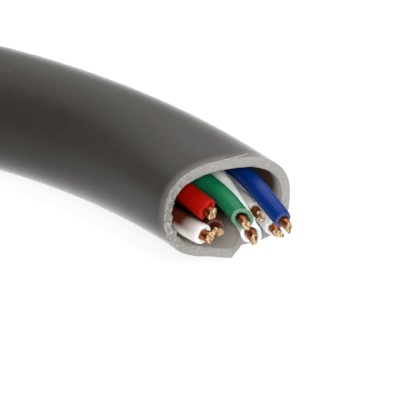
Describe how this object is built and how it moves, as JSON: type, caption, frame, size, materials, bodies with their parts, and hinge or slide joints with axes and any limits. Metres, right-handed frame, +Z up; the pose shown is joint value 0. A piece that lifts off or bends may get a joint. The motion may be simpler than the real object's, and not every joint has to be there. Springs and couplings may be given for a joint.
{
  "type": "twisted pair cable",
  "caption": "Short bent length of round grey data cable with a flattened, slanted cut end, from which twisted pairs of colour-coded solid copper wires fan out at different lengths.",
  "frame": {"origin": "middle of the bounding box, on the surface that the cable lies on", "axes": "+X from the square end along the straight stretch, towards the cut end; the cable bends towards -Y; +Z up"},
  "size_m": [0.0406, 0.0196, 0.006],
  "materials": {
    "jacket_pvc": "satin grey PVC",
    "orange_polyethylene": "smooth polyethylene insulation",
    "white_orange_polyethylene": "smooth polyethylene insulation",
    "green_polyethylene": "smooth polyethylene insulation",
    "white_green_polyethylene": "smooth polyethylene insulation",
    "brown_polyethylene": "smooth polyethylene insulation",
    "white_brown_polyethylene": "smooth polyethylene insulation",
    "blue_polyethylene": "smooth polyethylene insulation",
    "white_blue_polyethylene": "smooth polyethylene insulation",
    "copper": "bare solid copper, sheared at the end"
  },
  "bodies": {
    "root": {"jacket": "jacket_pvc", "orange_insulation": "orange_polyethylene", "orange_conductor": "copper", "white_orange_insulation": "white_orange_polyethylene", "white_orange_conductor": "copper", "green_insulation": "green_polyethylene", "green_conductor": "copper", "white_green_insulation": "white_green_polyethylene", "white_green_conductor": "copper", "brown_insulation": "brown_polyethylene", "brown_conductor": "copper", "white_brown_insulation": "white_brown_polyethylene", "white_brown_conductor": "copper", "blue_insulation": "blue_polyethylene", "blue_conductor": "copper", "white_blue_insulation": "white_blue_polyethylene", "white_blue_conductor": "copper"}
  },
  "joints": []
}
